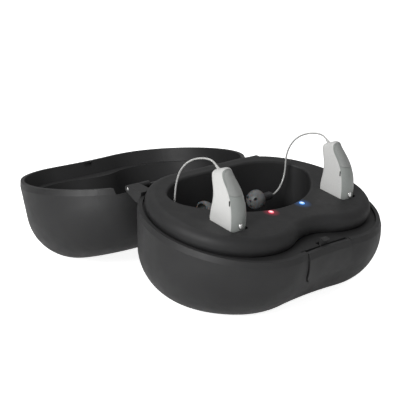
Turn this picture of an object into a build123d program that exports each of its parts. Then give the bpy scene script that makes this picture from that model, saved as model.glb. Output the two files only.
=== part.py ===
from build123d import *
from collections import namedtuple
import math
import os

os.makedirs("parts", exist_ok=True)

# Millimetres. The origin is the centre of the foot pad's underside, +Z up, and the
# hollow front with its release panel faces -Y. The lid lies open behind, towards +Y.

# Plan outlines: reach from the origin and the radii of their tangent arcs
Plan = namedtuple("Plan", "length front back side_y side lobe corner notch")
case_plan = Plan(117.8, 40.1, 39.1, -0.5, 41.8, 33.7, 35.1, 150.0)
ledge_end = 3.4
ledge_front = 7.05
ledge_back = 3.1
deck_lobe = 31.15
deck_notch = 24.6

# Heights and walls of the case
rim_height = 36.88
rim_slope = 0.22
base_bottom = 0.4
base_round = 24.3
lid_top = 73.8
lid_round = 23.9
case_wall = 2.4
parting_gap = 0.3
bevel_depth = 0.65
base_bevel = 2.4
lid_bevel = 2.6
fit_gap = 0.2

# Foot pad and its recess
foot_length = 60.0
foot_width = 22.0
foot_corner = 10.9
foot_height = 1.0
foot_gap = 0.15
foot_edge = 0.3

# Insert tray
deck_rise = 6.4
deck_round = 4.0
tray_wall = 2.0
flange_drop = 0.95
flange_thick = 1.8
shelf_width = 1.8
shelf_thick = 2.0
bowl_end_wall = 14.5
bowl_back_wall = 8.5
bowl_front = 13.0
bowl_end_y = 12.5
bowl_end_radius = 9.5
bowl_corner_radius = 34.0
bowl_floor = 19.0
bowl_lip = 1.0

# Hinge
hinge_y = 41.07
hinge_z = 45.59
hinge_open = 197.8
barrel_radius = 1.45
pin_radius = 0.75
pin_press = 0.01
pin_running = 0.05
ear_near = 34.8
ear_far = 41.6
knuckle_near = 29.0
hinge_gap = 0.3
ear_drop = 5.0
ear_root = 7.0
knuckle_root = 4.0
knuckle_rise = 5.5

# Release panel, its catch and its spring
panel_width = 27.5
panel_low = 15.0
panel_drop = 0.3
panel_bevel = 2.5
panel_bevel_depth = 0.9
panel_proud = 0.6
panel_skin = 2.3
panel_corner = 3.0
panel_gap = 0.35
panel_travel = 1.5
plate_thick = 1.1
plate_margin = 1.5
catch_width = 4.0
catch_thick = 1.3
catch_height = 2.2
catch_nose = 0.6
catch_edge = 0.35
catch_lift = 0.25
catch_reach = 1.25
catch_clear = 0.5
spring_radius = 2.0
spring_wire = 0.25
spring_turns = 5
spring_length = 5.0
spring_height = 20.0
rib_width = 12.0
rib_thick = 1.8

# Lid liner
liner_wall = 1.2
liner_flange_height = 7.2
liner_flange = 1.2
liner_inset = 0.5

# Board, inlet, screws
board_height = 10.6
board_thick = 1.6
board_x = 8.5
board_y = -0.5
board_length = 77.0
board_width = 36.0
board_corner = 8.0
post_x = 24.0
post_y = 5.0
post_radius = 3.5
tray_post_radius = 3.0
screw_radius = 1.25
screw_head_radius = 2.25
screw_head = 1.5
screw_drive = 1.0
screw_length = 13.2
inlet_y = 8.0
inlet_width = 8.94
inlet_height = 3.2
inlet_length = 7.6
inlet_corner = 1.55
inlet_gap = 0.3
inlet_mouth = 52.0
inlet_recess_width = 12.6
inlet_recess_height = 6.8
inlet_recess_corner = 3.3
inlet_rim = 1.3
inlet_seat = 2.3
inlet_skin = 0.3
inlet_back = 1.2
tongue_width = 6.7
tongue_height = 0.7
tongue_length = 5.6

# Indicators
light_x = 10.0
light_y = -14.7
light_radius = 1.2
light_proud = 0.2
light_edge = 0.15
light_chip = 2.2
light_chip_height = 0.8
chip_size = 7.0
chip_height = 1.1
chip_places = [(0, 0), (-12, 4), (12, -4)]

# Charging contacts
contact_y = -13.7
contact_pitch = 5.0
contact_radius = 0.55
contact_board = 1.0
contact_board_width = 6.4
contact_board_length = 9.0

# Docked hearing aids: cross-sections from the pocket's floor to the top, each leaning
# back by some degrees
aid_x = 35.2
aid_crown = 1.2
aid_low = 33.8
socket_gap = 0.35
socket_floor_gap = 0.2
socket_wall = 1.4
Station = namedtuple("Station", "height middle depth half_width lean back_round")
aid_stations = [
    Station(aid_low, -12.95, 11.9, 4.2, 0, 1.0),
    Station(42.0, -13.35, 12.3, 4.55, 0, 1.0),
    Station(47.5, -13.65, 11.3, 4.5, 3, 1.2),
    Station(51.0, -13.35, 10.0, 4.25, 8, 1.4),
    Station(55.2, -11.95, 8.2, 3.85, 17, 1.6),
    Station(58.8, -10.1, 7.1, 3.35, 21, 2.0),
    Station(62.5, -9.45, 7.2, 2.9, 17, 2.6),
]
aid_top_round = 2.4
spine_lead = 0.15
button_low = 52.4
button_top = 62.6
button_sides = [(3.55, 53.6), (3.15, 57.0), (2.5, 60.3)]
button_gap = 0.12
button_travel = 0.35
mic_height = 50.1
mic_length = 2.3
mic_width = 0.5
mic_sunk = 0.3
mic_depth = 0.9
stud_width = 1.8
stud_height = 2.6
stud_length = 1.3
stud_proud = 0.6
stud_edge = 0.35

# Tail of each aid: dome centre, direction from the dome to the receiver, and the wire's
# route from the aid's top down into the bowl, as steps towards the middle, depth and
# height
Tail = namedtuple("Tail", "dome direction route")
wire_arch = [
    (0, -8.7, 61.7), (0, -5.3, 64.4), (0, 0.7, 64.9), (0, 7.9, 62.7), (0, 13.5, 58.1), (0, 16.5, 51.8),
]
left_tail = Tail((-20.3, 15.0, 36.3), (-0.99, 0.12, -0.05), wire_arch + [(0, 17.7, 44.5), (0.8, 17.2, 37.6)])
right_tail = Tail((13.2, 15.0, 35.2), (0.98, 0.12, -0.03), wire_arch + [(0.2, 17.1, 44.5), (3.6, 17.1, 37.4)])
wire_radius = 0.4
wire_boot = 0.65
wire_boot_length = 2.5
wire_boot_step = 0.12
receiver_start = 3.0
receiver_radius = 1.9
receiver_length = 8.0
receiver_round = 0.6
receiver_tail = 1.2
nose_start = 0.8
nose_radius = 1.1
dome_radius = 4.6
dome_wall = 0.7
dome_skirt = 0.8
sleeve_end = 2.6
sleeve_wall = 0.5
sound_bore = 0.6
vent_radius = 0.75
vent_circle = 2.45
vent_turn = 30

tall = 90.0
deck_plan = Plan(
    case_plan.length - 2 * ledge_end,
    case_plan.front - ledge_front,
    case_plan.back - ledge_back,
    case_plan.side_y,
    case_plan.side - ledge_end,
    deck_lobe,
    case_plan.corner - ledge_back,
    deck_notch,
)


def lobe_centre(plan):
    """Centre of the front lobe that lies inside the end circle."""
    side_x = plan.length / 2 - plan.side
    lobe_y = plan.lobe - plan.front
    lobe_x = side_x + math.sqrt((plan.side - plan.lobe) ** 2 - (lobe_y - plan.side_y) ** 2)
    return Vector(lobe_x, lobe_y)


def notch_centre(plan):
    """Centre of the hollow front's arc, outside the lobes."""
    lobe = lobe_centre(plan)
    return Vector(0, lobe.Y - math.sqrt((plan.notch + plan.lobe) ** 2 - lobe.X ** 2))


def arc_between(centre, radius, start, end):
    """Short arc of a circle between two points on it."""
    middle = centre + ((start - centre) + (end - centre)).normalized() * radius
    ThreePointArc(start, middle, end)


def kidney(plan, inset=0.0):
    """Kidney outline: a hollow front, two lobes, two ends and a straight back."""
    side = Vector(plan.length / 2 - plan.side, plan.side_y)
    lobe = lobe_centre(plan)
    corner_y = plan.back - plan.corner
    corner_x = side.X + math.sqrt((plan.side - plan.corner) ** 2 - (corner_y - side.Y) ** 2)
    corner = Vector(corner_x, corner_y)
    notch = notch_centre(plan)
    tip = Vector(0, notch.Y + plan.notch + inset)
    notch_end = notch + (lobe - notch).normalized() * (plan.notch + inset)
    lobe_end = side + (lobe - side).normalized() * (plan.side - inset)
    side_end = side + (corner - side).normalized() * (plan.side - inset)
    back_end = Vector(corner_x, plan.back - inset)
    with BuildSketch() as outline:
        with BuildLine():
            arc_between(notch, plan.notch + inset, tip, notch_end)
            arc_between(lobe, plan.lobe - inset, notch_end, lobe_end)
            arc_between(side, plan.side - inset, lobe_end, side_end)
            arc_between(corner, plan.corner - inset, side_end, back_end)
            Line(back_end, Vector(0, plan.back - inset))
            mirror(about=Plane.YZ)
        make_face()
    return outline.sketch


def bowl_outline(grow=0.0):
    """Outline of the accessory bowl: bowed front, round ends, straight back."""
    end_radius = bowl_end_radius
    reach = deck_plan.length / 2 - bowl_end_wall
    back = deck_plan.back - bowl_back_wall
    end = Vector(reach - end_radius, bowl_end_y)
    corner_y = back - bowl_corner_radius
    spread = math.sqrt((bowl_corner_radius - end_radius) ** 2 - (corner_y - end.Y) ** 2)
    corner = Vector(end.X - spread, corner_y)
    rise = end.Y + bowl_front
    front_radius = (end.X ** 2 + rise ** 2 - end_radius ** 2) / (2 * (rise - end_radius))
    front = Vector(0, front_radius - bowl_front)
    front_end = end + (end - front).normalized() * (end_radius + grow)
    end_end = end + (end - corner).normalized() * (end_radius + grow)
    back_end = Vector(corner.X, back + grow)
    with BuildSketch() as outline:
        with BuildLine():
            arc_between(front, front_radius + grow, Vector(0, -bowl_front - grow), front_end)
            arc_between(end, end_radius + grow, front_end, end_end)
            arc_between(corner, bowl_corner_radius + grow, end_end, back_end)
            Line(back_end, Vector(0, back + grow))
            mirror(about=Plane.YZ)
        make_face()
    return outline.sketch


def rim_plane(height):
    """Slanted parting plane, moved straight up by a height."""
    return Plane(origin=(0, 0, rim_height + height), x_dir=(1, 0, 0), z_dir=(0, -rim_slope, 1))


def rim_z(y, height=0.0):
    """Height of the slanted rim, or of a plane above it, at a depth."""
    return rim_height + rim_slope * y + height


def between(outline, low, high):
    """Upright prism of an outline between two planes parallel to the rim."""
    with BuildPart() as form:
        with BuildSketch():
            add(outline)
        extrude(amount=tall)
        split(bisect_by=rim_plane(low), keep=Keep.TOP)
        split(bisect_by=rim_plane(high), keep=Keep.BOTTOM)
    return form.part


def lower_case(inset):
    """Outer form of the base, or the form inside its wall."""
    with BuildPart() as form:
        with BuildSketch(Plane.XY.offset(base_bottom + inset)):
            add(kidney(case_plan, inset))
        extrude(amount=tall)
        fillet(form.edges().group_by(Axis.Z)[0], base_round - inset)
    return form.part


def upper_case(inset):
    """Outer form of the closed lid, or the form inside its wall."""
    with BuildPart() as form:
        with BuildSketch(Plane.XY.offset(lid_top - inset)):
            add(kidney(case_plan, inset))
        extrude(amount=-tall)
        fillet(form.edges().group_by(Axis.Z)[-1], lid_round - inset)
    return form.part


def upright_block(x, y, z):
    """Block between three pairs of limits."""
    with BuildPart() as block:
        with BuildSketch(Plane.XY.offset(z[0])):
            with Locations(((x[0] + x[1]) / 2, (y[0] + y[1]) / 2)):
                Rectangle(x[1] - x[0], y[1] - y[0])
        extrude(amount=z[1] - z[0])
    return block.part


def front_skin(outer, inner, width, low, high, corner):
    """Piece of the base's front wall between two depths, cut to a rounded window."""
    with BuildPart() as skin:
        add(lower_case(outer))
        add(lower_case(inner), mode=Mode.SUBTRACT)
        with BuildSketch(Plane.XZ.offset(case_plan.front - ledge_front * 2)):
            with Locations((0, (low + high) / 2)):
                RectangleRounded(width, high - low, corner)
        extrude(amount=tall, mode=Mode.INTERSECT)
    return skin.part


def hinge_arm(x_low, x_high, y_range, z_range):
    """Arm from the case wall to a barrel round the hinge axis."""
    with BuildPart() as arm:
        with BuildSketch(Plane.YZ.offset(x_low)):
            with Locations((hinge_y, hinge_z)):
                Circle(barrel_radius)
            with Locations((sum(y_range) / 2, sum(z_range) / 2)):
                Rectangle(y_range[1] - y_range[0], z_range[1] - z_range[0])
            make_hull()
        extrude(amount=x_high - x_low)
    return arm.part


def hinge_rod(radius, x_low, x_high):
    """Round bar on the hinge axis."""
    with BuildPart() as rod:
        with BuildSketch(Plane.YZ.offset(x_low)):
            with Locations((hinge_y, hinge_z)):
                Circle(radius)
        extrude(amount=x_high - x_low)
    return rod.part


# Places that follow from the sizes above
panel_rim = rim_z(-case_plan.front)
hollow_y = notch_centre(case_plan).Y + case_plan.notch
wall_inside = hollow_y + case_wall
window_width = panel_width + 2 * panel_gap
ear_top = hinge_z + barrel_radius
shelf_top = -flange_drop - flange_thick
catch_front = wall_inside + catch_clear
catch_back = catch_front + catch_thick
catch_top = rim_z(catch_front, catch_height)
plate_depth = case_wall + fit_gap + plate_thick
plate_high = panel_rim + shelf_top - panel_gap
plate_width = panel_width + 2 * plate_margin
catch_root = plate_high - plate_thick
board_top = board_height + board_thick
post_places = [(x, y) for x in (-post_x, post_x) for y in (-post_y, post_y)]
inlet_z = board_top + inlet_height / 2
contact_rows = (contact_y - contact_pitch / 2, contact_y + contact_pitch / 2)
contact_places = [(x, y) for x in (-aid_x, aid_x) for y in contact_rows]
spring_drop = base_bottom + base_round - spring_height + spring_radius + spring_wire
spring_round = base_round - math.sqrt(base_round ** 2 - spring_drop ** 2)
spring_front = hollow_y + plate_depth + spring_round
spring_back = spring_front + spring_length


def shelf_outline():
    """Shelf round the inside of the base, left out behind the release panel."""
    with BuildSketch() as outline:
        add(kidney(case_plan, case_wall / 2))
        add(kidney(case_plan, case_wall + shelf_width), mode=Mode.SUBTRACT)
        with Locations((0, -case_plan.front)):
            Rectangle(plate_width + 2 * catch_clear, ledge_front * 4, mode=Mode.SUBTRACT)
    return outline.sketch


def flange_outline():
    """Flange of the tray, with room for the release panel and its catch."""
    panel_back = hollow_y + panel_skin - panel_proud + panel_travel + fit_gap
    with BuildSketch() as outline:
        add(kidney(case_plan, case_wall + fit_gap))
        add(kidney(deck_plan, tray_wall / 2), mode=Mode.SUBTRACT)
        with Locations((0, panel_back)):
            Rectangle(window_width + 1, tall, align=(Align.CENTER, Align.MAX), mode=Mode.SUBTRACT)
        with Locations((0, catch_back + panel_travel + fit_gap)):
            slot_width = catch_width + 2 * panel_gap
            Rectangle(slot_width, tall, align=(Align.CENTER, Align.MAX), mode=Mode.SUBTRACT)
    return outline.sketch


# Base shell
with BuildPart() as inlet_boss:
    add(lower_case(case_wall / 2))
    add(upright_block(
        (inlet_mouth - inlet_seat, inlet_mouth + inlet_seat),
        (inlet_y - inlet_recess_width / 2 - inlet_rim, inlet_y + inlet_recess_width / 2 + inlet_rim),
        (inlet_z - inlet_recess_height / 2 - inlet_rim, inlet_z + inlet_recess_height / 2 + inlet_rim),
    ), mode=Mode.INTERSECT)
with BuildPart() as spring_rib:
    add(lower_case(case_wall / 2))
    add(upright_block(
        (-rib_width / 2, rib_width / 2),
        (spring_back, spring_back + rib_thick),
        (base_bottom, spring_height + rib_width / 3),
    ), mode=Mode.INTERSECT)
with BuildPart() as base_shell:
    add(lower_case(0))
    split(bisect_by=rim_plane(0), keep=Keep.BOTTOM)
    rim_face = base_shell.faces().sort_by(Axis.Z)[-1]
    chamfer(rim_face.edges(), length=bevel_depth, length2=base_bevel, reference=rim_face)
    for side in (-1, 1):
        ear_limits = sorted((side * ear_near, side * ear_far))
        ear_wall = (case_plan.back - ear_root, case_plan.back - ear_root / 2)
        add(hinge_arm(*ear_limits, ear_wall, (hinge_z - ear_drop, rim_z(case_plan.back))))
    add(lower_case(case_wall), mode=Mode.SUBTRACT)
    add(between(shelf_outline(), shelf_top - shelf_thick, shelf_top))
    # Window for the release panel
    with BuildSketch(Plane.XZ.offset(case_plan.front - 2 * ledge_front)):
        with Locations((0, panel_low - panel_gap + tall / 2)):
            RectangleRounded(window_width, tall, panel_corner + panel_gap)
    extrude(amount=tall, mode=Mode.SUBTRACT)
    # Rib that backs the release spring
    add(spring_rib.part)
    # Posts for the board, each over a screw
    with BuildSketch(Plane.XY.offset(foot_height)):
        with Locations(post_places):
            Circle(post_radius)
    extrude(amount=board_height - foot_height)
    with BuildSketch(Plane.XY.offset(foot_height)):
        with Locations(post_places):
            Circle(screw_radius + foot_gap)
    extrude(amount=board_height, mode=Mode.SUBTRACT)
    with BuildSketch(Plane.XY.offset(foot_height)):
        with Locations(post_places):
            Circle(screw_head_radius + foot_gap)
    extrude(amount=screw_head + foot_gap, mode=Mode.SUBTRACT)
    # Seat of the foot pad
    with BuildSketch(Plane.XY):
        RectangleRounded(foot_length + 2 * foot_gap, foot_width + 2 * foot_gap, foot_corner + foot_gap)
    extrude(amount=foot_height, mode=Mode.SUBTRACT)
    # Inlet boss, recess and slot in the right end
    add(inlet_boss.part)
    with BuildSketch(Plane.YZ.offset(inlet_mouth - inlet_length)):
        with Locations((inlet_y, inlet_z)):
            RectangleRounded(inlet_width + inlet_gap, inlet_height + inlet_gap, inlet_corner)
    extrude(amount=tall, mode=Mode.SUBTRACT)
    with BuildSketch(Plane.YZ.offset(inlet_mouth)):
        with Locations((inlet_y, inlet_z)):
            RectangleRounded(inlet_recess_width, inlet_recess_height, inlet_recess_corner)
    extrude(amount=tall, mode=Mode.SUBTRACT)
    for side in (-1, 1):
        add(hinge_rod(pin_radius + pin_press, *sorted((side * (ear_near - 1), side * (ear_far + 1)))),
            mode=Mode.SUBTRACT)
base_shell.part.label = "base_shell"
export_step(base_shell.part, "parts/base_shell.step")

# Foot pad
with BuildPart() as foot_pad:
    with BuildSketch():
        RectangleRounded(foot_length, foot_width, foot_corner)
    extrude(amount=foot_height)
    fillet(foot_pad.edges().group_by(Axis.Z)[0], foot_edge)
foot_pad.part.label = "foot_pad"
export_step(foot_pad.part, "parts/foot_pad.step")


def socket_outline(side, grow=0.0):
    """Docking pocket round the lower part of a hearing aid."""
    widest = max(aid_stations, key=lambda station: station.depth)
    width = 2 * (widest.half_width + socket_gap + grow)
    depth = widest.depth + aid_crown + 2 * (socket_gap + grow)
    with BuildSketch() as outline:
        with Locations((side * aid_x, widest.middle - aid_crown / 2)):
            RectangleRounded(width, depth, widest.back_round + socket_gap + grow)
    return outline.sketch


def deck_prism(outline, floor, height):
    """Upright prism from a level floor to a plane above the rim."""
    with BuildPart() as form:
        with BuildSketch(Plane.XY.offset(floor)):
            add(outline)
        extrude(amount=tall)
        split(bisect_by=rim_plane(height), keep=Keep.BOTTOM)
    return form.part


# Insert tray: raised deck, flange, accessory bowl and two docking pockets
socket_floor = aid_low - socket_floor_gap
with BuildPart() as insert_tray:
    add(between(kidney(deck_plan), shelf_top, deck_rise))
    fillet(insert_tray.faces().sort_by(Axis.Z)[-1].edges(), deck_round)
    add(between(kidney(deck_plan, tray_wall), shelf_top - 1, deck_rise - tray_wall), mode=Mode.SUBTRACT)
    add(between(flange_outline(), shelf_top, -flange_drop))
    add(deck_prism(bowl_outline(tray_wall), bowl_floor - tray_wall, deck_rise - tray_wall / 2))
    for side in (-1, 1):
        socket_outside = socket_outline(side, socket_wall)
        add(deck_prism(socket_outside, socket_floor - socket_wall, deck_rise - tray_wall / 2))
    add(deck_prism(bowl_outline(), bowl_floor, 2 * deck_rise), mode=Mode.SUBTRACT)
    for side in (-1, 1):
        add(deck_prism(socket_outline(side), socket_floor, 2 * deck_rise), mode=Mode.SUBTRACT)
    deck_face = insert_tray.faces().filter_by(rim_plane(0)).sort_by(Axis.Z)[-1]
    bowl_rim = deck_face.inner_wires().sort_by(SortBy.LENGTH)[-1]
    fillet(bowl_rim.edges(), bowl_lip)
    # Screw posts under the bowl, light holes in the deck, contact holes in the pockets
    with BuildSketch(Plane.XY.offset(board_top)):
        with Locations(post_places):
            Circle(tray_post_radius)
    extrude(amount=bowl_floor - tray_wall / 2 - board_top)
    with BuildSketch(Plane.XY.offset(board_top)):
        with Locations(post_places):
            Circle(screw_radius + pin_press)
    extrude(amount=bowl_floor - tray_wall - board_top, mode=Mode.SUBTRACT)
    with BuildSketch(Plane.XY.offset(board_top)):
        with Locations((-light_x, light_y), (light_x, light_y)):
            Circle(light_radius + pin_running)
    extrude(amount=tall, mode=Mode.SUBTRACT)
    with BuildSketch(Plane.XY.offset(board_top)):
        with Locations(contact_places):
            Circle(contact_radius + pin_running)
    extrude(amount=tall, mode=Mode.SUBTRACT)
insert_tray.part.label = "insert_tray"
export_step(insert_tray.part, "parts/insert_tray.step")

# Main board with its two indicator chips
with BuildPart() as main_board:
    with BuildSketch(Plane.XY.offset(board_height)):
        with Locations((board_x, board_y)):
            RectangleRounded(board_length, board_width, board_corner)
        with Locations(post_places):
            Circle(screw_radius + foot_gap, mode=Mode.SUBTRACT)
    extrude(amount=board_thick)
    with BuildSketch(Plane.XY.offset(board_top)):
        with Locations((-light_x, light_y), (light_x, light_y)):
            Rectangle(light_chip, light_chip)
    extrude(amount=light_chip_height)
    with BuildSketch(Plane.XY.offset(board_top)):
        with Locations(chip_places):
            Rectangle(chip_size, chip_size)
    extrude(amount=chip_height)
main_board.part.label = "main_board"
export_step(main_board.part, "parts/main_board.step")

# Power inlet socket: metal shroud with its tongue
inlet_inside = (inlet_width - 2 * inlet_skin, inlet_height - 2 * inlet_skin, inlet_corner - inlet_skin)
with BuildPart() as power_inlet:
    with BuildSketch(Plane.YZ.offset(inlet_mouth - inlet_length)):
        with Locations((inlet_y, inlet_z)):
            RectangleRounded(inlet_width, inlet_height, inlet_corner)
    extrude(amount=inlet_length)
    with BuildSketch(Plane.YZ.offset(inlet_mouth - inlet_length + inlet_back)):
        with Locations((inlet_y, inlet_z)):
            RectangleRounded(*inlet_inside)
    extrude(amount=inlet_length, mode=Mode.SUBTRACT)
    with BuildSketch(Plane.YZ.offset(inlet_mouth - inlet_length + inlet_back / 2)):
        with Locations((inlet_y, inlet_z)):
            Rectangle(tongue_width, tongue_height)
    extrude(amount=tongue_length)
power_inlet.part.label = "power_inlet"
export_step(power_inlet.part, "parts/power_inlet.step")

# Case screws, driven from under the foot pad
with BuildPart() as case_screws:
    with BuildSketch(Plane.XY.offset(foot_height + foot_gap)):
        with Locations(post_places):
            Circle(screw_head_radius)
            RegularPolygon(screw_drive, 6, mode=Mode.SUBTRACT)
    extrude(amount=screw_head)
    with BuildSketch(Plane.XY.offset(foot_height + foot_gap + screw_head / 2)):
        with Locations(post_places):
            Circle(screw_radius)
    extrude(amount=screw_length)
case_screws.part.label = "case_screws"
export_step(case_screws.part, "parts/case_screws.step")

# Light pipes of the two indicators
for place, name in ((-light_x, "red_light_pipe"), (light_x, "blue_light_pipe")):
    with BuildPart() as light_pipe:
        with BuildSketch(Plane.XY.offset(board_top + light_chip_height)):
            with Locations((place, light_y)):
                Circle(light_radius)
        extrude(amount=tall)
        split(bisect_by=rim_plane(deck_rise + light_proud), keep=Keep.BOTTOM)
        fillet(light_pipe.edges().sort_by(Axis.Z)[-1], light_edge)
    light_pipe.part.label = name
    export_step(light_pipe.part, f"parts/{name}.step")

# Charging contacts under each docking pocket
for side, name in ((-1, "left_charge_contacts"), (1, "right_charge_contacts")):
    with BuildPart() as contacts:
        with BuildSketch(Plane.XY.offset(socket_floor - socket_wall - contact_board)):
            with Locations((side * aid_x, contact_y)):
                Rectangle(contact_board_width, contact_board_length)
        extrude(amount=contact_board)
        with BuildSketch(Plane.XY.offset(socket_floor - socket_wall)):
            with Locations([place for place in contact_places if place[0] * side > 0]):
                Circle(contact_radius)
        extrude(amount=socket_wall + socket_floor_gap - pin_running)
    contacts.part.label = name
    export_step(contacts.part, f"parts/{name}.step")

# Hinge pins
for side, name in ((-1, "left_hinge_pin"), (1, "right_hinge_pin")):
    pin_ends = sorted((side * (knuckle_near + hinge_gap), side * (ear_far - hinge_gap)))
    with BuildPart() as hinge_pin:
        add(hinge_rod(pin_radius, *pin_ends))
    hinge_pin.part.label = name
    export_step(hinge_pin.part, f"parts/{name}.step")

# Release panel with its guide plate and catch
with BuildPart() as release_button:
    add(front_skin(-panel_proud, panel_skin - panel_proud, panel_width, panel_low, tall / 2, panel_corner))
    split(bisect_by=rim_plane(-panel_drop), keep=Keep.BOTTOM)
    panel_top = release_button.faces().sort_by(Axis.Z)[-1]
    panel_edge = panel_top.edges().sort_by(Axis.Y)[0]
    chamfer(panel_edge, length=panel_bevel_depth, length2=panel_bevel, reference=panel_top)
    panel_root = (panel_skin - panel_proud) / 2
    add(front_skin(panel_root, plate_depth, panel_width - 2, panel_low + 1, plate_high, panel_corner))
    plate_low = panel_low - plate_margin
    add(front_skin(case_wall + fit_gap, plate_depth, plate_width, plate_low, plate_high, panel_corner))
    with BuildSketch(Plane.YZ.offset(-catch_width / 2)):
        with BuildLine():
            Polyline(
                (catch_front, catch_root),
                (catch_front, catch_top - catch_nose - catch_edge),
                (catch_front - catch_reach, catch_top - catch_nose - catch_edge),
                (catch_front - catch_reach, catch_top - catch_nose),
                (catch_front, catch_top),
                (catch_back, catch_top),
                (catch_back, catch_root),
                close=True,
            )
        make_face()
    extrude(amount=catch_width)
release_button.part.label = "release_button"
export_step(release_button.part, "parts/release_button.step")

# Coil spring between the panel's plate and the rib
with BuildPart() as release_spring:
    coil_length = spring_back - spring_front - 2 * spring_wire
    with BuildLine():
        coil = Helix(
            pitch=coil_length / spring_turns,
            height=coil_length,
            radius=spring_radius,
            center=(0, spring_front + spring_wire, spring_height),
            direction=(0, 1, 0),
        )
    with BuildSketch(Plane(origin=coil @ 0, z_dir=coil % 0)):
        Circle(spring_wire)
    sweep()
release_spring.part.label = "release_spring"
export_step(release_spring.part, "parts/release_spring.step")

# Lid, modelled closed and then turned open about the hinge
hinge_axis = Axis((0, hinge_y, hinge_z), (1, 0, 0))
with BuildPart() as knuckles:
    for side in (-1, 1):
        knuckle_limits = sorted((side * knuckle_near, side * (ear_near - hinge_gap)))
        knuckle_wall = (case_plan.back - knuckle_root, case_plan.back - knuckle_root / 2)
        add(hinge_arm(*knuckle_limits, knuckle_wall, (rim_z(knuckle_wall[0]), hinge_z + knuckle_rise)))
    add(between(kidney(case_plan, -hinge_gap), -tall / 4, parting_gap), mode=Mode.SUBTRACT)
with BuildPart() as lid_closed:
    add(upper_case(0))
    split(bisect_by=rim_plane(parting_gap), keep=Keep.TOP)
    lid_rim = lid_closed.faces().sort_by(Axis.Z)[0]
    chamfer(lid_rim.edges(), length=bevel_depth, length2=lid_bevel, reference=lid_rim)
    add(knuckles.part)
    add(upper_case(case_wall), mode=Mode.SUBTRACT)
    for side in (-1, 1):
        window_limits = sorted((side * (ear_near - hinge_gap), side * (ear_far + hinge_gap)))
        add(upright_block(window_limits, (deck_plan.back / 2, tall), (0, ear_top + hinge_gap)),
            mode=Mode.SUBTRACT)
        add(hinge_rod(pin_radius + pin_running, *sorted((side * (knuckle_near - 1), side * ear_near))),
            mode=Mode.SUBTRACT)
    # Strike that the panel's catch hooks into
    add(upright_block(
        (-catch_width / 2 - catch_clear, catch_width / 2 + catch_clear),
        (catch_front - catch_reach - catch_clear, catch_front),
        (catch_top - catch_nose - catch_edge - catch_lift, catch_top + catch_clear),
    ), mode=Mode.SUBTRACT)
lid_shell = lid_closed.part.rotate(hinge_axis, -hinge_open)
lid_shell.label = "lid_shell"
export_step(lid_shell, "parts/lid_shell.step")

# Lid liner: tub and its flange
liner_fit = case_wall + fit_gap
with BuildPart() as tub_inside:
    with BuildSketch():
        add(kidney(deck_plan, liner_inset))
    extrude(amount=tall)
    add(upper_case(liner_fit + liner_wall), mode=Mode.INTERSECT)
with BuildPart() as liner_closed:
    with BuildSketch():
        add(kidney(deck_plan, liner_inset - liner_wall))
    extrude(amount=tall)
    split(bisect_by=rim_plane(liner_flange_height), keep=Keep.TOP)
    add(between(kidney(case_plan, liner_fit), liner_flange_height, liner_flange_height + liner_flange))
    add(upper_case(liner_fit), mode=Mode.INTERSECT)
    add(tub_inside.part, mode=Mode.SUBTRACT)
lid_liner = liner_closed.part.rotate(hinge_axis, -hinge_open)
lid_liner.label = "lid_liner"
export_step(lid_liner, "parts/lid_liner.step")


def station_plane(side, station):
    """Plane of one cross-section of a hearing aid, leaning back with height."""
    lean = math.radians(station.lean)
    return Plane(
        origin=(side * aid_x, station.middle, station.height),
        x_dir=(1, 0, 0),
        z_dir=(0, math.sin(lean), math.cos(lean)),
    )


def ridge_point(station):
    """Where the crease between side and spine crosses a section, as depth and height."""
    lean = math.radians(station.lean)
    return (
        station.middle - station.depth / 2 * math.cos(lean),
        station.height + station.depth / 2 * math.sin(lean),
    )


def aid_form(side):
    """Moulded outer form of a hearing aid, with a crowned spine."""
    with BuildPart() as form:
        for station in aid_stations:
            half = station.depth / 2
            width = station.half_width
            with BuildSketch(station_plane(side, station)) as section:
                with BuildLine():
                    Polyline((-width, -half), (-width, half), (width, half), (width, -half))
                    ThreePointArc((width, -half), (0, -half - aid_crown), (-width, -half))
                make_face()
                fillet(section.vertices().group_by(Axis.Y)[-1], station.back_round)
        loft()
        fillet(form.faces().sort_by(Axis.Z)[-1].edges(), aid_top_round)
    return form.part


def spine_region(side, shift=0.0):
    """Everything in front of the crease surface, moved back by a shift."""
    points = [ridge_point(station) for station in aid_stations]
    points = [(y - spine_lead + shift, z) for y, z in points]
    last = (points[-1][0], points[-1][1] + 5)
    first = (points[0][0], points[0][1] - 5)
    with BuildPart() as region:
        with BuildSketch(Plane.YZ.offset(side * aid_x - 8)):
            with BuildLine():
                Polyline(points[0], first, (-tall / 2, first[1]), (-tall / 2, last[1]), last, points[-1])
                Spline(*points)
            make_face()
        extrude(amount=16)
    return region.part


def button_prism(side, grow=0.0):
    """Petal outline of the push button, run through the aid from front to back."""
    right = [(side * aid_x + width + grow, height) for width, height in button_sides]
    left = [(side * aid_x - width - grow, height) for width, height in reversed(button_sides)]
    low = (side * aid_x, button_low - grow)
    top = (side * aid_x, button_top + grow)
    with BuildPart() as prism:
        with BuildSketch(Plane.XZ):
            with BuildLine():
                Spline(low, *right, top, *left, periodic=True)
            make_face()
        extrude(amount=tall / 2)
    return prism.part


def mic_slots(side, near, far):
    """Upright slots in an aid's two creases, between two depths in from the crease."""
    lower, upper = [pair for pair in zip(aid_stations, aid_stations[1:]) if pair[0].height < mic_height][-1]
    share = (mic_height - ridge_point(lower)[1]) / (ridge_point(upper)[1] - ridge_point(lower)[1])
    crease_y = ridge_point(lower)[0] + share * (ridge_point(upper)[0] - ridge_point(lower)[0])
    half_width = lower.half_width + share * (upper.half_width - lower.half_width)
    with BuildPart() as slots:
        for edge in (-1, 1):
            origin = (side * aid_x + edge * half_width, crease_y, mic_height)
            crease = Plane(origin, x_dir=(1, edge, 0), z_dir=(edge, -1, 0))
            with BuildSketch(crease.offset(-far)):
                SlotOverall(mic_length, mic_width, rotation=90)
            extrude(amount=far - near)
    return slots.part


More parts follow.
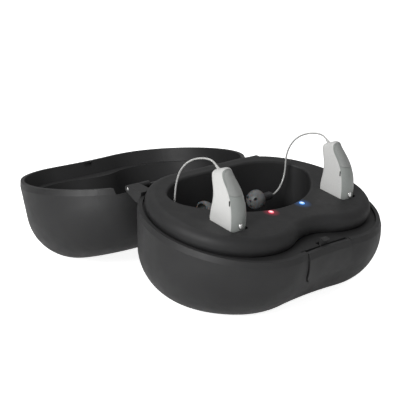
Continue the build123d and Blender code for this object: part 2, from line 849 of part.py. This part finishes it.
# Both hearing aids: shell, spine cover, push button, contact stud, wire, receiver, dome
for side, name in ((-1, "left"), (1, "right")):
    whole = aid_form(side)
    spine_front = spine_region(side)
    button_pocket = button_prism(side, button_gap)
    tail = left_tail if side < 0 else right_tail
    tail_axis = Vector(*tail.direction).normalized()
    dome_centre = Vector(*tail.dome)
    dome_plane = Plane(origin=dome_centre, z_dir=tail_axis)
    wire_end = dome_centre + tail_axis * (receiver_start + receiver_length + receiver_tail)
    route = [Vector(side * (aid_x - x), y, z) for x, y, z in tail.route]
    route.append(wire_end)
    wire_exit = Plane(origin=route[0], z_dir=route[1] - route[0])
    with BuildPart() as aid_shell:
        add(whole)
        add(spine_front, mode=Mode.SUBTRACT)
        add(button_pocket & spine_region(side, 2 * button_travel), mode=Mode.SUBTRACT)
        with BuildSketch(wire_exit):
            Circle(wire_boot + pin_press)
        extrude(amount=wire_boot_length, mode=Mode.SUBTRACT)
        add(mic_slots(side, -mic_depth, mic_depth), mode=Mode.SUBTRACT)
    aid_shell.part.label = f"{name}_aid_shell"
    export_step(aid_shell.part, f"parts/{name}_aid_shell.step")
    # Charging stud at the foot of the spine, just above the deck
    stud_face = aid_stations[1].middle - aid_stations[1].depth / 2 - aid_crown
    stud_z = rim_z(stud_face, deck_rise + stud_height / 2 + fit_gap)
    with BuildPart() as aid_stud:
        with BuildSketch(Plane.XZ.offset(stud_proud - stud_length - stud_face)):
            with Locations((side * aid_x, stud_z)):
                SlotOverall(stud_height, stud_width, rotation=90)
        extrude(amount=stud_length)
        fillet(aid_stud.edges().group_by(Axis.Y)[0], stud_edge)
    aid_stud.part.label = f"{name}_aid_stud"
    export_step(aid_stud.part, f"parts/{name}_aid_stud.step")
    with BuildPart() as aid_spine:
        add(whole)
        add(spine_front, mode=Mode.INTERSECT)
        add(button_pocket, mode=Mode.SUBTRACT)
        add(aid_stud.part, mode=Mode.SUBTRACT)
        add(mic_slots(side, -mic_depth, mic_depth), mode=Mode.SUBTRACT)
    aid_spine.part.label = f"{name}_aid_spine"
    export_step(aid_spine.part, f"parts/{name}_aid_spine.step")
    with BuildPart() as aid_button:
        add(whole)
        add(spine_region(side, button_travel / 2), mode=Mode.INTERSECT)
        add(button_prism(side), mode=Mode.INTERSECT)
    aid_button.part.label = f"{name}_aid_button"
    export_step(aid_button.part, f"parts/{name}_aid_button.step")
    mic_screens = mic_slots(side, mic_sunk, mic_depth)
    mic_screens.label = f"{name}_mic_screens"
    export_step(mic_screens, f"parts/{name}_mic_screens.step")
    # Receiver wire: tapered boot at the aid, then one smooth preformed curve
    with BuildPart() as receiver_wire:
        with BuildLine() as wire_path:
            Spline(*route, tangents=(wire_exit.z_dir, -tail_axis), tangent_scalars=(1, 1))
        with BuildSketch(Plane(origin=wire_path.line @ 0, z_dir=wire_path.line % 0)):
            Circle(wire_radius)
        sweep()
        with BuildSketch(wire_exit):
            Circle(wire_boot)
        with BuildSketch(wire_exit.offset(wire_boot_length)):
            Circle(wire_radius + wire_boot_step)
        loft()
    receiver_wire.part.label = f"{name}_receiver_wire"
    export_step(receiver_wire.part, f"parts/{name}_receiver_wire.step")
    # Receiver: barrel, nose that carries the dome, and tail that the wire leaves
    with BuildPart() as receiver:
        with BuildSketch(dome_plane.offset(receiver_start)):
            Circle(receiver_radius)
        extrude(amount=receiver_length)
        fillet(receiver.edges(), receiver_round)
        with BuildSketch(dome_plane.offset(nose_start)):
            Circle(nose_radius)
        extrude(amount=receiver_start)
        with BuildSketch(dome_plane.offset(receiver_start + receiver_length / 2)):
            Circle(wire_boot)
        extrude(amount=receiver_length / 2 + receiver_tail)
    receiver.part.label = f"{name}_receiver"
    export_step(receiver.part, f"parts/{name}_receiver.step")
    # Soft dome: round vented cap on a sleeve over the receiver's nose
    with BuildPart() as dome:
        with BuildSketch(Plane(origin=dome_centre, x_dir=dome_plane.x_dir, z_dir=dome_plane.y_dir)):
            Circle(dome_radius)
            Circle(dome_radius - dome_wall, mode=Mode.SUBTRACT)
            Rectangle(tall, tall, align=(Align.MAX, Align.CENTER), mode=Mode.SUBTRACT)
            with Locations((0, -dome_skirt)):
                Rectangle(tall, tall, align=(Align.CENTER, Align.MAX), mode=Mode.SUBTRACT)
        revolve(axis=Axis(dome_centre, tail_axis))
        with BuildSketch(dome_plane.offset(dome_wall / 2 - dome_radius)):
            Circle(nose_radius + sleeve_wall)
        extrude(amount=dome_radius - dome_wall / 2 + sleeve_end)
        with BuildSketch(dome_plane.offset(nose_start)):
            Circle(nose_radius + pin_press)
        extrude(amount=sleeve_end, mode=Mode.SUBTRACT)
        with BuildSketch(dome_plane.offset(nose_start)):
            Circle(sound_bore)
            with PolarLocations(vent_circle, 3, start_angle=vent_turn):
                Circle(vent_radius)
        extrude(amount=-2 * dome_radius, mode=Mode.SUBTRACT)
    dome.part.label = f"{name}_dome"
    export_step(dome.part, f"parts/{name}_dome.step")
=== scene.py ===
import math

import bmesh
import bpy
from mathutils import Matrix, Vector


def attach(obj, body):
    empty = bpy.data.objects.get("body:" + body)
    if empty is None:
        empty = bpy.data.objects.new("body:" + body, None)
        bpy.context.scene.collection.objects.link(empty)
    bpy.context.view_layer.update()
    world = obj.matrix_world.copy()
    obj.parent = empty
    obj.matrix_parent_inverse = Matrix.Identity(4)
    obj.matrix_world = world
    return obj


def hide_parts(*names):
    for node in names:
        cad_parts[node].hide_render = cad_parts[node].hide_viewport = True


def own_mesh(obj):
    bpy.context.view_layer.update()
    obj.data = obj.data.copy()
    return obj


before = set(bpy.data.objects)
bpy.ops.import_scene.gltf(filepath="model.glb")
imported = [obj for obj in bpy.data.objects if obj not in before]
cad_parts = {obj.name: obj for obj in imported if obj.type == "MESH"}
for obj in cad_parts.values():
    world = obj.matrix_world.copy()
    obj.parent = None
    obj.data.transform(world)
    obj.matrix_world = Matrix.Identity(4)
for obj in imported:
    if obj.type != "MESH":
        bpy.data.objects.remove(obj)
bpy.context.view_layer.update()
MM = 0.001
LIGHT_TOPS = {"red": (-10.0, -14.7, 40.2), "blue": (10.0, -14.7, 40.2)}

# Camera at the photograph's angle, on a long lens
camera_data = bpy.data.cameras.new("camera")
camera = bpy.data.objects.new("camera", camera_data)
bpy.context.scene.collection.objects.link(camera)
camera_target = Vector((-1.73, 36.36, 33.71)) * MM
camera_azimuth = math.radians(-44.63)
camera_elevation = math.radians(15.38)
camera_distance = 513.5 * MM
camera.location = camera_target + camera_distance * Vector((
    math.sin(camera_azimuth) * math.cos(camera_elevation),
    -math.cos(camera_azimuth) * math.cos(camera_elevation),
    math.sin(camera_elevation),
))
camera.rotation_euler = (camera_target - camera.location).to_track_quat("-Z", "Y").to_euler()
camera_data.lens = 100.6
camera_data.sensor_width = 36.0
camera_data.clip_start = 0.01
bpy.context.scene.camera = camera
bpy.context.scene.view_settings.view_transform = "Standard"


# Shader building blocks
def material_with_shader(name, colour, roughness, **inputs):
    """New material whose principled shader has these uniform values."""
    material = bpy.data.materials.new(name)
    material.use_nodes = True
    shader = material.node_tree.nodes["Principled BSDF"]
    shader.inputs["Base Color"].default_value = (*colour, 1.0)
    shader.inputs["Roughness"].default_value = roughness
    for socket, value in inputs.items():
        shader.inputs[socket.replace("_", " ")].default_value = value
    return material, shader


def object_coordinates(material):
    return material.node_tree.nodes.new("ShaderNodeTexCoord").outputs["Object"]


def noise(material, scale, detail=2.0, vector=None):
    """Noise over the object's own coordinates; scale is per metre."""
    node = material.node_tree.nodes.new("ShaderNodeTexNoise")
    node.inputs["Scale"].default_value = scale
    node.inputs["Detail"].default_value = detail
    material.node_tree.links.new(vector or object_coordinates(material), node.inputs["Vector"])
    return node.outputs["Fac"]


def spread(material, value, low, high, start=0.3, end=0.7):
    """Value between start and end mapped to low and high."""
    node = material.node_tree.nodes.new("ShaderNodeMapRange")
    node.inputs["From Min"].default_value = start
    node.inputs["From Max"].default_value = end
    node.inputs["To Min"].default_value = low
    node.inputs["To Max"].default_value = high
    material.node_tree.links.new(value, node.inputs["Value"])
    return node.outputs["Result"]


def mixed(material, factor, first, second):
    """Colour mixed between two, each a colour or another socket."""
    node = material.node_tree.nodes.new("ShaderNodeMix")
    node.data_type = "RGBA"
    material.node_tree.links.new(factor, node.inputs["Factor"])
    for socket, value in (("A", first), ("B", second)):
        target = [slot for slot in node.inputs if slot.name == socket and slot.type == "RGBA"][0]
        if isinstance(value, tuple):
            target.default_value = (*value, 1.0)
        else:
            material.node_tree.links.new(value, target)
    return [slot for slot in node.outputs if slot.type == "RGBA"][0]


def bump(material, shader, height, distance, strength=1.0, under=None):
    """Bump from a height; distance is in metres."""
    node = material.node_tree.nodes.new("ShaderNodeBump")
    node.inputs["Distance"].default_value = distance
    node.inputs["Strength"].default_value = strength
    material.node_tree.links.new(height, node.inputs["Height"])
    if under is not None:
        material.node_tree.links.new(under, node.inputs["Normal"])
    material.node_tree.links.new(node.outputs["Normal"], shader.inputs["Normal"])
    return node.outputs["Normal"]


def nearness(material, centre, radius):
    """1 at a point, falling to 0 at a radius."""
    distance = material.node_tree.nodes.new("ShaderNodeVectorMath")
    distance.operation = "DISTANCE"
    distance.inputs[1].default_value = [value * MM for value in centre]
    material.node_tree.links.new(object_coordinates(material), distance.inputs[0])
    return spread(material, distance.outputs["Value"], 1.0, 0.0, 0.0, radius * MM)


def soft_touch(name, colour, roughness, grain=0.000012, variation=0.12, gloss=0.35):
    """Charcoal plastic with a soft matte coating: fine grain and faint handling marks."""
    material, shader = material_with_shader(name, colour, roughness, Specular_IOR_Level=gloss)
    links = material.node_tree.links
    darker = tuple(channel * (1 - variation) for channel in colour)
    lighter = tuple(channel * (1 + variation) for channel in colour)
    broad = noise(material, 38, 3)
    links.new(mixed(material, spread(material, broad, 0, 1), darker, lighter), shader.inputs["Base Color"])
    rubbed = noise(material, 160, 4)
    links.new(spread(material, rubbed, roughness - 0.05, roughness + 0.06), shader.inputs["Roughness"])
    bump(material, shader, noise(material, 5200, 2), grain)
    return material


def satin_paint(name, colour, roughness, metallic, fleck=0.1):
    """Silver satin paint with fine flecks."""
    material, shader = material_with_shader(name, colour, roughness, Metallic=metallic, Coat_Weight=0.25,
                                            Coat_Roughness=0.25)
    links = material.node_tree.links
    darker = tuple(channel * (1 - fleck) for channel in colour)
    lighter = tuple(min(channel * (1 + fleck), 1.0) for channel in colour)
    links.new(mixed(material, spread(material, noise(material, 9000, 1), 0, 1), darker, lighter),
              shader.inputs["Base Color"])
    links.new(spread(material, noise(material, 700, 3), roughness - 0.04, roughness + 0.05),
              shader.inputs["Roughness"])
    bump(material, shader, noise(material, 6000, 2), 0.000004)
    return material


def metal(name, colour, roughness):
    """Plain metal with fine turning marks."""
    material, shader = material_with_shader(name, colour, roughness, Metallic=1.0)
    turned = spread(material, noise(material, 2500, 3), roughness - 0.06, roughness + 0.08)
    material.node_tree.links.new(turned, shader.inputs["Roughness"])
    bump(material, shader, noise(material, 8000, 2), 0.000003)
    return material


def light_pipe(name, centre, colour, glow):
    """Lit end of a light pipe: nearly white in the middle, coloured at the edge."""
    material, shader = material_with_shader(name, colour, 0.25)
    core = nearness(material, centre, 1.5)
    lit_end = spread(material, nearness(material, centre, 4.0), 0.0, 1.0, 0.0, 0.5)
    material.node_tree.links.new(lit_end, shader.inputs["Emission Strength"])
    lit = mixed(material, spread(material, core, 0, 1, 0.25, 0.75), glow, (1.0, 1.0, 1.0))
    material.node_tree.links.new(lit, shader.inputs["Emission Color"])
    bump(material, shader, noise(material, 4000, 2), 0.000004)
    return material


case_material = soft_touch("case_soft_touch", (0.019, 0.019, 0.0195), 0.5)
tray_material = soft_touch("tray_soft_touch", (0.016, 0.016, 0.0165), 0.58)
liner_material = soft_touch("liner_plastic", (0.017, 0.017, 0.0175), 0.55)
panel_material = soft_touch("panel_plastic", (0.022, 0.022, 0.0225), 0.48)
foot_material = soft_touch("foot_rubber", (0.012, 0.012, 0.012), 0.8, 0.00003)
mic_material = soft_touch("mic_gauze", (0.006, 0.006, 0.006), 0.7, 0.00003)
receiver_material = soft_touch("receiver_plastic", (0.05, 0.05, 0.052), 0.4)
aid_side_material = satin_paint("aid_silver", (0.62, 0.62, 0.608), 0.38, 0.15)
aid_spine_material = satin_paint("aid_spine_grey", (0.3, 0.318, 0.305), 0.42, 0.3)
aid_button_material = satin_paint("aid_button_grey", (0.33, 0.34, 0.33), 0.4, 0.35, 0.2)
steel_material = metal("bright_steel", (0.78, 0.78, 0.77), 0.22)
gold_material = metal("gold_plate", (0.85, 0.66, 0.3), 0.25)

board_material, board_shader = material_with_shader("board_lacquer", (0.015, 0.09, 0.035), 0.4)
board_tracks = spread(board_material, noise(board_material, 900, 0), 0, 1, 0.49, 0.52)
board_colour = mixed(board_material, board_tracks, (0.012, 0.08, 0.03), (0.02, 0.14, 0.055))
board_material.node_tree.links.new(board_colour, board_shader.inputs["Base Color"])

wire_material, wire_shader = material_with_shader("wire_clear_sleeve", (0.5, 0.5, 0.49), 0.28,
                                                  Transmission_Weight=0.15, Coat_Weight=0.4)
bump(wire_material, wire_shader, noise(wire_material, 3500, 2), 0.000004)

dome_material, dome_shader = material_with_shader("dome_silicone", (0.13, 0.13, 0.132), 0.45,
                                                  Subsurface_Weight=0.3, Subsurface_Scale=0.001,
                                                  Transmission_Weight=0.15)
bump(dome_material, dome_shader, noise(dome_material, 2500, 2), 0.000008)

# Glow of the lights on the deck round them
tray_nodes = tray_material.node_tree
tray_shader = tray_nodes.nodes["Principled BSDF"]
near_red = nearness(tray_material, LIGHT_TOPS["red"], 4.0)
near_blue = nearness(tray_material, LIGHT_TOPS["blue"], 4.5)
halo_red = mixed(tray_material, near_red, (0, 0, 0), (0.32, 0.015, 0.04))
halo = mixed(tray_material, near_blue, halo_red, (0.02, 0.1, 0.3))
tray_nodes.links.new(halo, tray_shader.inputs["Emission Color"])
tray_shader.inputs["Emission Strength"].default_value = 0.8

node_materials = {
    "base_shell": case_material,
    "insert_tray": tray_material,
    "foot_pad": foot_material,
    "main_board": board_material,
    "power_inlet": steel_material,
    "case_screws": steel_material,
    "red_light_pipe": light_pipe("red_light", LIGHT_TOPS["red"], (0.6, 0.02, 0.02), (1.0, 0.12, 0.2)),
    "blue_light_pipe": light_pipe("blue_light", LIGHT_TOPS["blue"], (0.02, 0.1, 0.7), (0.1, 0.45, 1.0)),
    "left_hinge_pin": steel_material,
    "right_hinge_pin": steel_material,
    "release_spring": steel_material,
    "release_button": panel_material,
    "lid_shell": case_material,
    "lid_liner": liner_material,
}
for side in ("left", "right"):
    node_materials[f"{side}_charge_contacts"] = gold_material
    node_materials[f"{side}_aid_shell"] = aid_side_material
    node_materials[f"{side}_aid_spine"] = aid_spine_material
    node_materials[f"{side}_aid_button"] = aid_button_material
    node_materials[f"{side}_aid_stud"] = steel_material
    node_materials[f"{side}_mic_screens"] = mic_material
    node_materials[f"{side}_receiver_wire"] = wire_material
    node_materials[f"{side}_receiver"] = receiver_material
    node_materials[f"{side}_dome"] = dome_material
for node, material in node_materials.items():
    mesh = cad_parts[node].data
    mesh.materials.clear()
    mesh.materials.append(material)

# Coil spring between the release panel and its fixed end: a copy of the CAD spring, carried by the base
spring_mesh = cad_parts["release_spring"].data.copy()
release_coil = bpy.data.objects.new("release_coil", spring_mesh)
bpy.context.scene.collection.objects.link(release_coil)
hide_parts("release_spring")
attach(release_coil, "base")
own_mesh(release_coil)


# Floor, backdrop and soft studio light
def studio_level(material, seen, mirrored, lighting):
    """Level that differs for rays from the camera or glass, for mirror rays, and for light."""
    nodes = material.node_tree.nodes
    links = material.node_tree.links
    path = nodes.new("ShaderNodeLightPath")
    level = None
    for ray, value in (("Is Glossy Ray", mirrored), ("Is Transmission Ray", seen), ("Is Camera Ray", seen)):
        choice = nodes.new("ShaderNodeMix")
        choice.inputs["B"].default_value = value
        links.new(path.outputs[ray], choice.inputs["Factor"])
        if level is None:
            choice.inputs["A"].default_value = lighting
        else:
            links.new(level, choice.inputs["A"])
        level = choice.outputs["Result"]
    return level


floor_mesh = bpy.data.meshes.new("floor")
floor_form = bmesh.new()
floor_half = 4.0
floor_corners = ((-1, -1), (1, -1), (1, 1), (-1, 1))
floor_form.faces.new([floor_form.verts.new((x * floor_half, y * floor_half, 0)) for x, y in floor_corners])
floor_form.to_mesh(floor_mesh)
floor_form.free()
floor = bpy.data.objects.new("floor", floor_mesh)
bpy.context.scene.collection.objects.link(floor)
floor_material, floor_shader = material_with_shader("floor_white", (0.9, 0.9, 0.9), 0.9)
floor_shader.inputs["Emission Color"].default_value = (1, 1, 1, 1)
floor_material.node_tree.links.new(
    studio_level(floor_material, 0.9, 0.1, 0.0), floor_shader.inputs["Emission Strength"])
floor_mesh.materials.append(floor_material)

world = bpy.data.worlds.new("studio")
bpy.context.scene.world = world
world.use_nodes = True
world_background = world.node_tree.nodes["Background"]
world_background.inputs["Color"].default_value = (1, 1, 1, 1)
world.node_tree.links.new(studio_level(world, 1.0, 0.35, 0.28), world_background.inputs["Strength"])


def softbox(name, place, size, power):
    """Square area lamp that faces the object."""
    lamp = bpy.data.lights.new(name, "AREA")
    lamp.size = size
    lamp.energy = power
    holder = bpy.data.objects.new(name, lamp)
    holder.location = place
    holder.rotation_euler = (Vector((0, 0.03, 0.03)) - holder.location).to_track_quat("-Z", "Y").to_euler()
    bpy.context.scene.collection.objects.link(holder)


softbox("key", (-0.95, -0.15, 0.5), 0.4, 9.5)
softbox("fill", (0.1, -0.95, 0.45), 0.7, 0.8)
softbox("top", (0.1, 0.35, 1.0), 0.6, 2.0)
